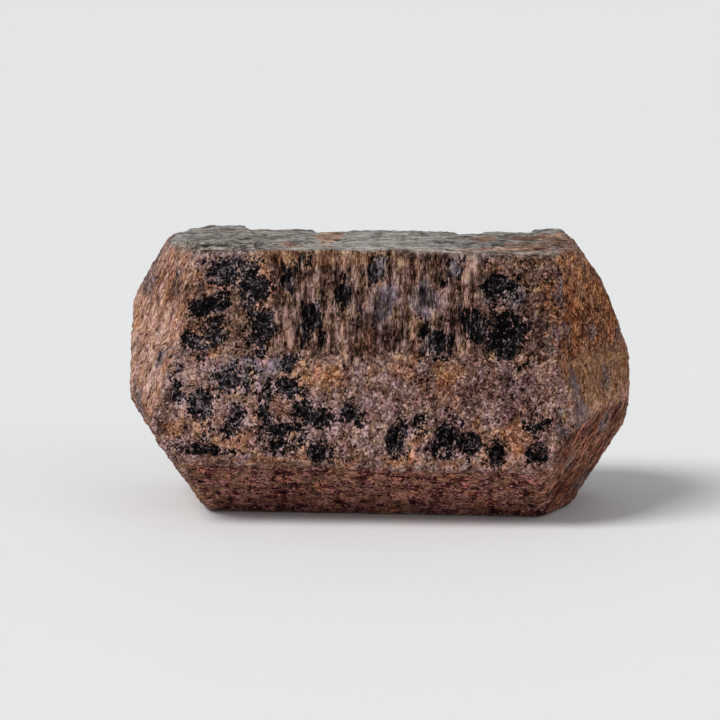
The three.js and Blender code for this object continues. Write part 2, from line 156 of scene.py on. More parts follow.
# Patches on the top: middle x, middle y, half width, half depth in mm, lean in degrees.
TOP_RUST_PATCHES = [
    (25.5, -8.0, 3.6, 9.0, 0), (-6.7, -3.0, 2.0, 4.6, 12), (16.0, -13.6, 6.0, 1.4, 0),
    (20.0, -3.5, 3.6, 2.0, 0), (-9.5, -12.0, 4.0, 1.3, 0), (20.0, -9.5, 4.0, 2.6, 0),
    (13.6, -5.0, 1.6, 2.4, 0),
]
TOP_DARK_PATCHES = [(-22.8, -15.0, 3.4, 1.0, 0), (-17.0, -15.4, 1.6, 0.8, 0), (7.2, -8.5, 1.8, 0.5, 0)]
# Broad places that are lighter or deeper than the rest of the crystal: their middle, half width
# and half height (half depth on the top) in mm, and how much lighter they are.
BROAD_TONES = [
    (-27.5, 31.5, 5.0, 3.6, -0.12), (-30.0, 14.5, 3.6, 3.0, -0.06), (15.0, 17.0, 12.0, 6.0, -0.06),
    (17.5, 29.0, 6.0, 6.0, -0.07), (-20.0, 33.5, 4.0, 1.6, 0.05), (-8.0, 27.5, 4.0, 3.0, -0.02),
    (4.0, 25.5, 9.0, 1.6, -0.10), (23.0, 31.0, 2.4, 5.0, -0.04), (-20.0, 18.0, 6.0, 4.0, 0.05),
    (-16.0, 5.0, 9.0, 3.4, -0.06), (-18.6, 27.0, 5.0, 5.0, -0.03), (28.0, 24.0, 4.0, 4.0, -0.04),
    (26.0, 17.0, 4.0, 4.0, 0.05),
]
TOP_BROAD_TONES = [
    (18.0, -9.0, 9.0, 9.0, -0.10), (-21.0, -14.5, 6.0, 2.0, -0.14), (-1.0, -14.6, 15.0, 1.6, 0.16),
    (-1.0, -6.0, 11.0, 7.0, 0.09), (-20.0, -3.0, 5.0, 5.0, 0.02),
]
BROAD_FADE = 4.0  # mm over which a broad tone fades
PATCH_FADE = 1.0  # mm over which a patch thins out around its edge
SEED = 11

# Small spots round the edge of each dark patch: how many, how far out as a share of the patch and in mm,
# half their width in mm, how much higher than wide they are, and how much more they lean in degrees.
SATELLITES = 4
SATELLITE_REACH = (0.9, 1.6)
SATELLITE_GAPS = (0.2, 0.3)
SATELLITE_SIZES = (0.2, 0.5)
SATELLITE_SLENDERNESS = (1.0, 2.0)
SATELLITE_LEANS = (-10, 20)

# Where the upper front is fibrous, and olive just under the lip of the top, from x to x in mm.
FIBRES_SPAN = (-12.5, 12.0)
LIP_BAND_SPAN = (-15.0, 2.5)
SPAN_FADE = 5.0
LIP_BAND_HEIGHTS = (33.6, 34.6)  # where it begins and where it is full
# The painted highlight on the rim of the lower front, along the ledge: the same heights, and from where to
# where along X it ends.
RIM_HIGHLIGHT_HEIGHTS = (19.0, 21.6)
RIM_HIGHLIGHT_END = (-8.0, 4.0)
TONES_END = (0.0, 8.0)  # from where to where along Y the broad tones end, towards the back


def rising(values, low, high):
    """0 up to low, and from there up to 1 at high."""
    return np.clip((values - low) / (high - low), 0, 1)


def within(x, span):
    """1 inside the span, falling to 0 outside it."""
    low, high = span
    return np.clip((x - low) / SPAN_FADE + 0.5, 0, 1) * np.clip((high - x) / SPAN_FADE + 0.5, 0, 1)


def patch_strength(patches, x, z, wander):
    """1 inside a patch, falling to 0 outside it, with the edge moved by the wander."""
    strength = np.zeros(len(x))
    for middle_x, middle_z, half_width, half_height, lean in patches:
        angle = math.radians(lean)
        along, up = x - middle_x, z - middle_z
        across_patch = along * math.cos(angle) - up * math.sin(angle)
        up_patch = along * math.sin(angle) + up * math.cos(angle)
        reach = np.hypot(across_patch / half_width, up_patch / half_height)
        past_edge = (reach - 1) * min(half_width, half_height) + wander
        strength = np.maximum(strength, np.clip(0.5 - past_edge / PATCH_FADE, 0, 1))
    return strength


def broad_tone(tones, x, z):
    """How much lighter each place is than the rest; below 0 it is deeper."""
    total = np.zeros(len(x))
    for middle_x, middle_z, half_width, half_height, amount in tones:
        reach = np.hypot((x - middle_x) / half_width, (z - middle_z) / half_height)
        past_edge = (reach - 1) * min(half_width, half_height)
        total += amount * np.clip(0.5 - past_edge / BROAD_FADE, 0, 1)
    return total


def with_satellites(patches, chance):
    """The patches, and small spots scattered round the edge of each."""
    spots = list(patches)
    for middle_x, middle_z, half_width, half_height, lean in patches:
        for _ in range(SATELLITES):
            angle = chance.uniform(0, 2 * math.pi)
            reach = chance.uniform(*SATELLITE_REACH)
            size = chance.uniform(*SATELLITE_SIZES)
            spots.append((
                middle_x + math.cos(angle) * (half_width * reach + SATELLITE_GAPS[0]),
                middle_z + math.sin(angle) * (half_height * reach + SATELLITE_GAPS[1]),
                size,
                size * chance.uniform(*SATELLITE_SLENDERNESS),
                lean + chance.uniform(*SATELLITE_LEANS),
            ))
    return spots


# ---------------------------------------------------------------- modelling steps

VOXEL = 0.345 * MM  # how fine the crystal's mesh is
REST_HEIGHTS = (0.175, 0.525)  # mm over the ground, where the relief begins and where it is full
MERGE = 0.002 * MM  # points of the solid that are nearer to each other are one


def deselect_all():
    bpy.ops.object.select_all(action="DESELECT")


def work_on(piece):
    deselect_all()
    piece.select_set(True)
    bpy.context.view_layer.objects.active = piece


def apply_modifier(piece, kind, name, **settings):
    """Adds a modifier with these settings and applies it at once."""
    work_on(piece)
    modifier = piece.modifiers.new(name, kind)
    for key, value in settings.items():
        setattr(modifier, key, value)
    bpy.ops.object.modifier_apply(modifier=modifier.name)


def relief_texture(name):
    """One of the noise textures that the relief is made with."""
    size, settings = TEXTURES[name]
    texture = bpy.data.textures.new(name, "CLOUDS")
    texture.noise_scale = size * MM
    for key, value in settings.items():
        setattr(texture, key, value)
    return texture


def copy_of_node(node, name):
    """A merged copy of a CAD node's mesh."""
    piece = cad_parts[node].copy()
    piece.data = piece.data.copy()
    piece.name = piece.data.name = name
    piece.parent = None
    for key in list(piece.keys()):
        del piece[key]
    piece.data.materials.clear()
    bpy.context.scene.collection.objects.link(piece)
    work_on(piece)
    bpy.ops.object.mode_set(mode="EDIT")
    bpy.ops.mesh.select_all(action="SELECT")
    bpy.ops.mesh.remove_doubles(threshold=MERGE)
    bpy.ops.object.mode_set(mode="OBJECT")
    return piece


def points_of(piece):
    points = np.empty(len(piece.data.vertices) * 3)
    piece.data.vertices.foreach_get("co", points)
    return points.reshape(-1, 3)


def weigh(piece, name, weights, levels=8):
    """Makes a vertex group with these weights, rounded to a few levels."""
    group = piece.vertex_groups.new(name=name)
    rounded = np.round(weights * levels).astype(int)
    for level in range(1, levels + 1):
        group.add(np.flatnonzero(rounded == level).tolist(), level / levels, "REPLACE")


def displace(piece, name, texture, height, group, stretch=None, turn=0):
    """Moves the surface by a texture, where the group has weight.

    The texture may be stretched along X, Y and Z and turned about Y.
    """
    settings = dict(texture=texture, strength=height, mid_level=0.5, vertex_group=group)
    if stretch is None:
        apply_modifier(piece, "DISPLACE", name, texture_coords="LOCAL", **settings)
        return
    deselect_all()
    bpy.ops.object.empty_add(rotation=(0, math.radians(turn), 0))
    grid = bpy.context.active_object
    grid.scale = stretch
    bpy.context.view_layer.update()
    apply_modifier(piece, "DISPLACE", name, texture_coords="OBJECT", texture_coords_object=grid, **settings)
    bpy.data.objects.remove(grid)


def set_attribute(piece, name, values):
    attribute = piece.data.attributes.new(name, "FLOAT", "POINT")
    attribute.data.foreach_set("value", values.astype(np.float32))


SEED_SHIFT = (17.3, 5.1, 9.7)  # how far along X, Y and Z each seed moves the noise


def wandering(points, size, seed):
    """Smooth noise from about -1 to 1 at each point."""
    shift = Vector([seed * step for step in SEED_SHIFT])
    return np.array([noise.noise(Vector(p) / size + shift) for p in points])


# ---------------------------------------------------------------- where each finish shows

EDGE_BLEND = 0.35  # mm over which one finish turns to the next
EDGE_MARGIN = 1.0  # mm outside a face where the surface still counts as on it
EDGE_REACH = 12.0  # mm past which a face counts as no further away
LEDGE_BLEND = 1.4  # mm over which the finish changes at the ledge
RAGGEDNESS = 2.0  # how much the noise moves the edge of a finish
PATCH_RAGGEDNESS = 0.5
SHARP_EDGE = 4.0  # brings the product of two faces' shares to 1 on the edge between them
BACK_RISE_HEIGHTS = (30.0, 35.0)  # mm, where the rise of the top's back begins and is full
BACK_RISE_LEVELS = 24

# How much less crumb there is on these than on the rest of the crystal.
CALM_TOP = 0.8
CALM_UNDER_FRONT = 0.6
CALM_ENDS = 0.45

# Smooth noise in layers, each with the size of its swells in mm, a seed and a strength.
RAGGED_EDGES = ((1.6, 1, 0.6), (0.6, 2, 0.5))
SWAY_ALONG = ((2.2, 6, 1.0), (0.8, 7, 0.45))
SWAY_UP = ((2.6, 8, 1.3), (0.9, 9, 0.5))
SWAY_OF_LEDGE = ((3.0, 12, 1.8), (1.0, 13, 0.8))

# Scattered patches where none are placed: layers of noise, and how strong they are where a patch begins.
DARK_SPOTS = ((3.0, 3, 1.6), (1.1, 10, 0.8)), 0.15
RUST_STAINS = ((4.6, 4, 2.0),), 0.1
VIOLET_BRUISES = ((3.8, 5, 2.0),), 0.2
SPOTTED_FACES = {"back": 1.0, "back_top": 1.0, "back_under": 0.5, "right_back": 1.0, "left_back": 1.0}

FIBRES_ON_BACK = 0.6


def layered(points, layers):
    """These layers of noise, added up."""
    return sum(wandering(points, size, seed) * strength for size, seed, strength in layers)


def scattered(points, patches):
    """How strong scattered patches are at each point."""
    layers, threshold = patches
    return np.clip(layered(points, layers) - threshold, 0, 1)


def nearness_to_faces(points):
    """How near each point is to each face, as shares that add up to 1."""
    nearness = {}
    height = points[:, 2] + layered(points, SWAY_OF_LEDGE)
    above = np.clip((height - LEDGE_HEIGHT) / LEDGE_BLEND + 0.5, 0, 1)
    for name in FACES:
        out, distance = face_plane(name)
        depth = distance - points @ np.array(out)
        nearness[name] = np.exp(-np.clip(depth + EDGE_MARGIN, 0, EDGE_REACH) / EDGE_BLEND)
        if name in ABOVE_LEDGE:
            nearness[name] *= above
        if name in BELOW_LEDGE:
            nearness[name] *= 1 - above
    total = sum(nearness.values())
    return {name: near / total for name, near in nearness.items()}


def mark_relief(piece, points, near, loose):
    """Groups for the relief that doesn't belong to one finish."""
    weigh(piece, "loose", loose)
    towards_back = rising(points[:, 1] + MIDDLE.y, TOP_FRONT, TOP_BACK)
    weigh(piece, "back_rise", towards_back * rising(points[:, 2], *BACK_RISE_HEIGHTS), BACK_RISE_LEVELS)
    ends = sum(near[name] for name in FACES if FACES[name][0])
    rough = (1 - CALM_TOP * near["top"]) * (1 - CALM_UNDER_FRONT * near["under_front"])
    weigh(piece, "rough", loose * rough * (1 - CALM_ENDS * ends))


def mark_finishes(piece, near, ragged, loose):
    """Where each finish shows, as attributes, and where its relief goes, as groups."""
    for finish, shares in FINISHES.items():
        share = sum(near[name] * amount for name, amount in shares.items())
        frayed = share + ragged * RAGGEDNESS * share * (1 - share)
        set_attribute(piece, finish, np.clip(frayed, 0, 1))
        weigh(piece, finish, share * loose)


def mark_patches(piece, points, swayed, near, ragged, loose):
    """Where the crystal is dark, rusty and violet, as attributes, and the dark patches as a group."""
    x, y, z = swayed
    on_front = near["upper_front"] + near["lower_front"]
    on_back = sum(near[name] * share for name, share in SPOTTED_FACES.items())
    elsewhere = 1 - on_front - near["top"]
    spots = scattered(points, DARK_SPOTS) * on_back
    stains = scattered(points, RUST_STAINS) * elsewhere
    bruises = scattered(points, VIOLET_BRUISES) * elsewhere
    chance = np.random.default_rng(SEED)
    for name, patches, top_patches, others in (
        ("dark", with_satellites(DARK_PATCHES, chance), TOP_DARK_PATCHES, spots),
        ("rust", RUST_PATCHES, TOP_RUST_PATCHES, stains),
        ("violet", VIOLET_PATCHES, [], bruises),
    ):
        placed = patch_strength(patches, x, z, ragged * PATCH_RAGGEDNESS) * on_front
        on_top = patch_strength(top_patches, x, y, ragged * PATCH_RAGGEDNESS) * near["top"]
        strength = placed + on_top + others
        set_attribute(piece, name, strength)
        if name == "dark":
            weigh(piece, name, strength * loose)


def mark_tones(piece, points, swayed, near):
    """Where the front is fibrous, olive under the lip and lit by a painted highlight on the ledge's rim, the
    painted highlight on the right edge, and the broad tones, as attributes.
    """
    x, y, z = swayed
    height = points[:, 2]
    fibres = near["upper_front"] * within(x, FIBRES_SPAN) + near["back"] * FIBRES_ON_BACK
    set_attribute(piece, "fibrous", fibres)
    lip = near["upper_front"] * within(x, LIP_BAND_SPAN) * rising(height, *LIP_BAND_HEIGHTS)
    set_attribute(piece, "lip", lip)
    # Painted highlight: the top of the lower front is made lighter along the ledge's rim.
    rim_highlight = near["lower_front"] * rising(height, *RIM_HIGHLIGHT_HEIGHTS) * (1 - rising(x, *RIM_HIGHLIGHT_END))
    set_attribute(piece, "rim_highlight", rim_highlight)
    # Painted highlight along the edge between the right cheek and the right underside.
    set_attribute(piece, "edge_highlight", SHARP_EDGE * near["right_cheek"] * near["right_under"])
    tones = broad_tone(BROAD_TONES, x, z) * (1 - near["top"])
    tones = tones + broad_tone(TOP_BROAD_TONES, x, y) * near["top"]
    set_attribute(piece, "tone", tones * (1 - rising(points[:, 1], *TONES_END)))


def mark_surface(piece):
    """Writes all that the relief and the material need to know of each point."""
    points = points_of(piece) / MM
    near = nearness_to_faces(points)
    ragged = layered(points, RAGGED_EDGES)
    loose = rising(points[:, 2], *REST_HEIGHTS)
    mark_relief(piece, points, near, loose)
    mark_finishes(piece, near, ragged, loose)
    sway_up = layered(points, SWAY_UP)
    swayed = (
        points[:, 0] + MIDDLE.x + layered(points, SWAY_ALONG),
        points[:, 1] + MIDDLE.y + sway_up,
        points[:, 2] + sway_up,
    )
    mark_patches(piece, points, swayed, near, ragged, loose)
    mark_tones(piece, points, swayed, near)


# ---------------------------------------------------------------- the crystal's surface

# Growth sheets on the top: how thick each is, and its outline from above, in mm.
GROWTH_SHEETS = [
    (0.80, [
        (-22.9, -15.4), (-15.9, -15.6), (-15.2, -11.3), (-17.9, 3.0),
        (-22.8, 3.0), (-26.6, -6.0), (-25.4, -10.5),
    ]),
    (0.40, [(-15.4, -5.5), (-11.7, -6.9), (-9.2, -2.5), (-8.8, 3.1), (-18.2, 3.1)]),
    (0.12, [(-15.7, -16.3), (1.0, -16.25), (6.0, -15.9), (4.0, -13.4), (-15.3, -12.2)]),
    (0.32, [(-4.4, -14.9), (2.5, -15.5), (10.5, -14.4), (11.2, -4.0), (10.0, 3.1), (-3.9, 3.1)]),
    (0.30, [(13.0, -12.0), (22.0, -13.2), (24.9, -6.0), (22.8, 3.1), (14.2, 3.1)]),
    (0.70, [(21.2, -1.4), (24.6, -2.2), (24.4, 3.0), (20.6, 3.0)]),
]
SHEET_ROOT = 0.5  # mm that each reaches down into the crystal
BACK_RISE = 0.35  # mm by which the back of the top lies higher
RAG_DEPTH = 0.8  # mm between the furthest places to which the rags pull the surface
PATCH_DEPTH = 0.32  # mm by which the dark patches lie deeper
WEAR = 0.5  # how strongly the new skin is smoothed

# Noise for the relief: the size of its swells in mm, and the settings of its texture.
TEXTURES = {
    "rags": (1.1, {"noise_depth": 2, "cloud_type": "COLOR"}),
    "swells": (3.2, {"noise_depth": 3}),
    "crumbs": (0.7, {"noise_depth": 2, "noise_type": "HARD_NOISE"}),
    "fibres": (0.5, {"noise_depth": 1, "noise_type": "HARD_NOISE"}),
    "flakes": (1.5, {"noise_depth": 2}),
}

# Relief: its name, texture and height in mm, the group where it goes, how far the texture is drawn out
# along X, Y and Z, and its turn in degrees.
RELIEFS = [
    ("swell", "swells", 0.36, "loose", None, 0),
    ("crumb", "crumbs", 0.5, "rough", None, 0),
    ("fibre", "fibres", 0.34, "ribbed", (1, 1, 9), 0),
    ("streak", "fibres", 0.28, "pale", (1, 1, 8), 25),
    ("ridge", "fibres", 0.18, "slanted", (1, 1, 10), 33),
    ("band", "fibres", 0.22, "banded_and_shaded", (7, 1, 1), 0),
    ("flake", "flakes", 0.4, "sheeted_and_sheen", (4, 1.6, 1), 0),
]


def growth_sheet(thickness, outline):
    """One flat sheet, rooted in the top."""
    deselect_all()
    bpy.ops.mesh.primitive_circle_add(vertices=len(outline), fill_type="NGON")
    sheet = bpy.context.active_object
    for vertex, (x, y) in zip(sheet.data.vertices, outline):
        vertex.co = (Vector((x, y, TOP - SHEET_ROOT)) - MIDDLE) * MM
    bpy.ops.object.mode_set(mode="EDIT")
    bpy.ops.mesh.select_all(action="SELECT")
    rise = (0, 0, (SHEET_ROOT + thickness) * MM)
    bpy.ops.mesh.extrude_region_move(TRANSFORM_OT_translate={"value": rise})
    bpy.ops.mesh.select_all(action="SELECT")
    bpy.ops.mesh.normals_make_consistent(inside=False)
    bpy.ops.object.mode_set(mode="OBJECT")
    return sheet


def crystal_surface():
    """The crystal with its growth sheets and its relief, as one skin."""
    piece = copy_of_node("crystal", "crystal_surface")
    sheets = [growth_sheet(thickness, outline) for thickness, outline in GROWTH_SHEETS]
    work_on(piece)
    for sheet in sheets:
        sheet.select_set(True)
    bpy.ops.object.join()
    apply_modifier(piece, "REMESH", "skin", mode="VOXEL", voxel_size=VOXEL)
    mark_surface(piece)
    apply_modifier(piece, "SMOOTH", "wear", factor=WEAR, iterations=1, vertex_group="loose")
    textures = {name: relief_texture(name) for name in TEXTURES}
    apply_modifier(piece, "DISPLACE", "ragged", texture=textures["rags"], texture_coords="LOCAL",
                   direction="RGB_TO_XYZ", strength=RAG_DEPTH * MM, mid_level=0.5, vertex_group="rough")
    apply_modifier(piece, "DISPLACE", "back_rise", direction="Z", strength=BACK_RISE * MM,
                   mid_level=0, vertex_group="back_rise")
    apply_modifier(piece, "DISPLACE", "sunken", strength=-PATCH_DEPTH * MM, mid_level=0, vertex_group="dark")
    for name, texture, height, group, stretch, turn in RELIEFS:
        displace(piece, name, textures[texture], height * MM, group, stretch, turn)
    return piece


# ---------------------------------------------------------------- shader expressions

MID_GREY = (0.5, 0.5, 0.5)
HALFWAY = (0.48, 0.52)  # where one pattern gives way to another


class Paint:
    """A material that is built from expressions."""

    def __init__(self, name):
        self.material = bpy.data.materials.new(name)
        self.material.use_nodes = True
        self.tree = self.material.node_tree
        self.shader = self.tree.nodes["Principled BSDF"]

    def node(self, kind, inputs, output=0, stops=None, **settings):
        """One output of a new node with these settings, and these values or links in its sockets."""
        made = self.tree.nodes.new(kind)
        for name, value in settings.items():
            setattr(made, name, value)
        if stops:
            self.set_stops(made.color_ramp, stops)
        for key, value in inputs.items():
            self.fill(made.inputs[key], value)
        return Sock(self, made.outputs[output])

    def fill(self, socket, value):
        if isinstance(value, Sock):
            self.tree.links.new(value.socket, socket)
        else:
            socket.default_value = value

    def set_stops(self, color_ramp, stops):
        while len(color_ramp.elements) < len(stops):
            color_ramp.elements.new(1.0)
        for element, (place, colour) in zip(color_ramp.elements, stops):
            element.position = place
            element.color = (*colour, 1.0)

    def marked(self, name):
        """How strong an attribute of the surface is."""
        return self.node("ShaderNodeAttribute", {}, output="Fac", attribute_name=name)

    def surface(self, **values):
        """Fills the shader's own sockets, which are named with _ for a space."""
        for name, value in values.items():
            self.fill(self.shader.inputs[name.replace("_", " ")], value)


class Sock:
    """One value, colour or place in a material; sums and products of values add Math nodes."""

    def __init__(self, paint, socket):
        self.paint = paint
        self.socket = socket

    def math(self, operation, first, second):
        return self.paint.node("ShaderNodeMath", {0: first, 1: second}, operation=operation)

    def __add__(self, other):
        return self.math("ADD", self, other)

    __radd__ = __add__

    def __sub__(self, other):
        return self.math("SUBTRACT", self, other)

    def __rsub__(self, other):
        return self.math("SUBTRACT", other, self)

    def __mul__(self, other):
        return self.math("MULTIPLY", self, other)

    __rmul__ = __mul__

    def larger(self, other):
        return self.math("MAXIMUM", self, other)

    def size(self):
        return self.paint.node("ShaderNodeMath", {0: self}, operation="ABSOLUTE")

    def step(self, low, high):
        """0 below low, 1 above high, smooth between."""
        return self.paint.node(
            "ShaderNodeMapRange",
            {"Value": self, "From Min": low, "From Max": high},
            interpolation_type="SMOOTHSTEP",
        )

    def ramp(self, stops):
        return self.paint.node("ShaderNodeValToRGB", {"Fac": self}, stops=stops)

    def stretched(self, x, y, z):
        """These places for a pattern, which a number below 1 draws out along that axis."""
        return self.vector("MULTIPLY", (x, y, z))

    def turned(self, degrees):
        """Turned about the Y axis, across the front."""
        turn = (0, math.radians(degrees), 0)
        return self.paint.node("ShaderNodeMapping", {"Vector": self, "Rotation": turn})

    def lying(self, degrees, stretch):
        """These places for a pattern that is turned and drawn out."""
        turned = self.turned(degrees) if degrees else self
        return turned.stretched(*stretch)

    def mixed(self, other, share):
        """This colour, with a share of the other."""
        return self.paint.node(
            "ShaderNodeMix", {"Factor": share, 6: self, 7: other},
            output=2, data_type="RGBA",
        )

    def swapped(self, other, share):
        """These places, or the others where the share is over a half."""
        return self.paint.node(
            "ShaderNodeMix", {"Factor": share.step(*HALFWAY), 4: self, 5: other},
            output=1, data_type="VECTOR",
        )

    def noise(self, scale, detail=3.0, roughness=0.6):
        """Smooth noise around 0.5, with this many swells a mm."""
        return self.paint.node(
            "ShaderNodeTexNoise",
            {"Vector": self, "Scale": scale, "Detail": detail, "Roughness": roughness},
        )

    def swells(self, scale, detail=3.0, roughness=0.6):
        """The same around 0."""
        return self.noise(scale, detail, roughness) - 0.5

    def vector(self, operation, other):
        return self.paint.node("ShaderNodeVectorMath", {0: self, 1: other}, operation=operation)

    def dot(self, other):
        return self.paint.node(
            "ShaderNodeVectorMath", {0: self, 1: other}, output="Value", operation="DOT_PRODUCT",
        )

    def scaled(self, amount):
        return self.paint.node("ShaderNodeVectorMath", {0: self, "Scale": amount}, operation="SCALE")

    def tinted(self, tint, share):
        """This colour, multiplied by a tint where the share is 1."""
        return self.paint.node(
            "ShaderNodeMix", {"Factor": share, 6: self, 7: (*tint, 1.0)},
            output=2, data_type="RGBA", blend_type="MULTIPLY", clamp_result=False,
        )

    def line(self, scale, width):
        """Thin winding lines, 1 in the middle of a line and 0 between the lines."""
        return 1 - self.swells(scale, 4.0).size().step(0.0, width)

    def wobbled(self, scale, amount):
        """These places, moved about by noise."""
        sway = self.paint.node(
            "ShaderNodeTexNoise", {"Vector": self, "Scale": scale, "Detail": 2.0}, output="Color",
        )
        return self.vector("ADD", sway.vector("SUBTRACT", MID_GREY).scaled(amount))

    def cells(self, scale, output="Color"):
        """Small grains: a chance colour for each, or the middle of each."""
        return self.paint.node("ShaderNodeTexVoronoi", {"Vector": self, "Scale": scale}, output=output)

    def channel(self, number):
        """The red, green or blue of this colour, by its number."""
        return self.paint.node("ShaderNodeSeparateColor", {"Color": self}, output=number)

    def facets(self, scale):
        """The height of small flat grains that each lean their own way."""
        lean = self.cells(scale).vector("SUBTRACT", MID_GREY)
        return lean.dot(self.vector("SUBTRACT", self.cells(scale, "Position")))


# ---------------------------------------------------------------- the crystal's material


def tone(red, green, blue):
    """A colour given as 0 to 255 a channel, as the shader takes it."""
    return tuple(
        c / 12.92 if c <= 0.04045 else ((c + 0.055) / 1.055) ** 2.4
        for c in (red / 255, green / 255, blue / 255)
    )


SCALE_PLACES = (0.18, 0.37, 0.5, 0.63, 0.83)  # the value at which each tone of a scale shows


def scale_of(brightness, *tones):
    """Stops from the darkest grain to the brightest."""
    return [
        (place, tuple(c * brightness for c in tone(*colour)))
        for place, colour in zip(SCALE_PLACES, tones)
    ]


GRANULAR = scale_of(1.38, (40, 24, 21), (88, 62, 56), (113, 86, 78), (138, 110, 102), (186, 156, 149))
FIBROUS = scale_of(1.52, (18, 8, 6), (64, 45, 38), (92, 69, 60), (116, 91, 80), (160, 132, 121))
# The banded undersides: their own purple-brown, made darker still as painted shade where they face down.
BANDED_IN_SHADE = scale_of(1.46, (14, 1, 4), (49, 18, 22), (76, 37, 41), (101, 59, 59), (166, 118, 108))
# The grey of the top is painted sheen, the bright sky seen in it at a grazing view; under it the crystal is
# brown.
GREY_SHEEN = scale_of(1.2, (62, 54, 46), (110, 104, 97), (136, 132, 125), (152, 148, 142), (176, 172, 165))
PALE = scale_of(1.22, (78, 50, 42), (128, 94, 80), (155, 118, 103), (178, 142, 126), (216, 183, 168))
RUSTY = scale_of(1.25, (38, 16, 8), (92, 51, 31), (116, 71, 45), (140, 91, 62), (192, 142, 108))
OLIVE = scale_of(1.85, (56, 32, 20), (91, 60, 42), (112, 79, 57), (129, 95, 70), (174, 140, 115))
SLANTED = scale_of(1.32, (14, 1, 2), (53, 17, 17), (84, 39, 36), (113, 66, 56), (178, 128, 108))
# The dark mineral's scale: near black, its brightest tone is painted glints, highlights on the dark grains.
DARK_WITH_GLINTS = scale_of(1.2, (2, 1, 2), (8, 6, 7), (26, 21, 23), (62, 53, 55), (136, 124, 130))
RUST = scale_of(1.34, (60, 34, 22), (110, 73, 54), (134, 93, 72), (158, 118, 94), (196, 156, 130))
VIOLET = scale_of(1.3, (44, 35, 39), (70, 60, 64), (90, 79, 83), (112, 100, 104), (150, 138, 140))
CRACK = (*tone(44, 36, 30), 1.0)
TAN = (*tone(186, 140, 106), 1.0)

# Tints: what the red, green and blue of a colour are multiplied by.
WARM = (1.18, 0.96, 0.74)
COOL = (0.88, 0.91, 1.10)
PINK = (1.06, 0.96, 1.02)
OCHRE = (1.0, 0.98, 0.80)

# How patterns lie: their turn in degrees, and how they are drawn out along X, Y and Z.
BLOCKS = (-10, (1.0, 1.0, 0.8))
FIBRES = (0, (1.2, 1.2, 0.2))
SHEETS = (0, (0.3, 1.2, 1.3))
BANDS = (0, (0.8, 1.0, 1.1))
STREAKS = (-28, (1.3, 1.3, 0.36))
STEEP_STREAKS = (-40, (1.3, 1.3, 0.2))
LONG_SHAFTS = (0, (1.0, 1.0, 0.14))
LONG_SLANTS = (-34, (1.0, 1.0, 0.16))
HUES = (0, (1.0, 1.0, 0.7))
CRACKS = (0, (0.25, 0.7, 1.0))
SEAMS = (0, (0.5, 1.0, 1.0))

# Grains, swells or lines a mm; lines also have a width.
SMALL_GRAINS = 4.2
MIDDLING_GRAINS = 2.0
FRAY_SWELLS = 1.6
SHAFT_SWELLS = 1.1
SLANT_SWELLS = 1.5
MOTTLE_SWELLS = 0.5
CLUMP_SWELLS = 1.1
HUE_SWELLS = 0.8
FINE_SWELLS = 6.0
CRACK_SWELLS = 0.5
SEAM_SWELLS = 0.6
CRACK_LINES = (0.9, 0.07)
SEAM_LINES = (1.3, 0.07)
FINE_SEAM_LINES = (2.3, 0.06)

# Wobbles: swells a mm, and how far they move a pattern.
GRAIN_WOBBLE = (1.8, 0.5)
CRACK_WOBBLE = (1.5, 0.5)
SEAM_WOBBLE = (1.2, 0.8)

# Steps: where something begins to show and where it shows in full.
PAINTED_GLINT_STEP = (0.93, 0.98)
FIBROUS_STEP = (0.1, 0.9)
BANDED_STEP = (0.35, 0.65)
STAIN_STEP = (0.25, 0.9)
DARK_STEP = (0.28, 0.6)
WARMTH_STEP = (0.0, 0.5)
HUE_STEP = (0.5, 0.64)
CRACK_STEP = (0.42, 0.58)
SEAM_STEP = (0.42, 0.6)

# How the finishes change the grains: how much less blocky they are, how much more contrast they have,
# and how much less they are tinted.
LESS_BLOCKY = {"fibrous": 0.6, "sheeted_and_sheen": 0.4, "streaked": 0.55}
MORE_CONTRAST = {"banded_and_shaded": 0.5, "slanted": 0.35, "rusty": 0.25, "pale": 0.15}
LESS_TINTED = {"sheeted_and_sheen": 0.7, "pale": 0.35, "fibrous": 0.3}
LESS_HUED = 0.8  # on the top
LESS_DARK = 0.85  # on the top and the banded faces
OLIVE_STREAKS = 0.7  # of those on the pale faces
SLANTED_SEAMS = 0.7  # of those on the banded faces
RIBS_AS_FIBRES = 0.25

# How far the finishes fray into each other, and how ragged stains and dark clumps are.
FRAY = 1.2
PATTERN_FRAY = 0.4
BANDED_FRAY = 0.3
CLUMPS = 1.2
STAIN_WARMTH = 0.4
RUST_GAIN = 1.2
DARK_THINNING = 0.05
DARK_CLUMPS = 0.8
DARK_GRAINS = 1.6

# What adds to the brightness of the grains.
# The next two are painted highlights, on the ledge's rim and along the right cheek's lower edge.
RIM_HIGHLIGHT = 0.08
EDGE_HIGHLIGHT = 0.2
SLANT_LIGHT = 0.5
MOTTLE_LIGHT = 1.1

# How much of a colour is mixed in where it shows in full.
LIP_SHARE = 0.8
RUST_SHARE = 0.8
RUST_THROUGH_SHEETS = 0.72
VIOLET_SHARE = 0.75
CRACK_SHARE = 0.8
SEAM_SHARE = 0.6

# Roughness and how it varies; and, in mm, how high things stand in the bump.
ROUGHNESS = 0.62
DARK_SMOOTHER = 0.32
SHEETED_SMOOTHER = 0.1
FINE_ROUGHNESS = 0.6
SHEETED_FLATTER = 0.6
VALUE_BUMP = 0.12
FINE_BUMP = 0.06
DARK_BUMP = 0.05
CRACK_BUMP = 0.12
SEAM_BUMP = 0.06
SPECULAR = 0.04


def weighed(socks, weights):
    """These values, each times its weight, added up."""
    return sum(socks[name] * weight for name, weight in weights.items())


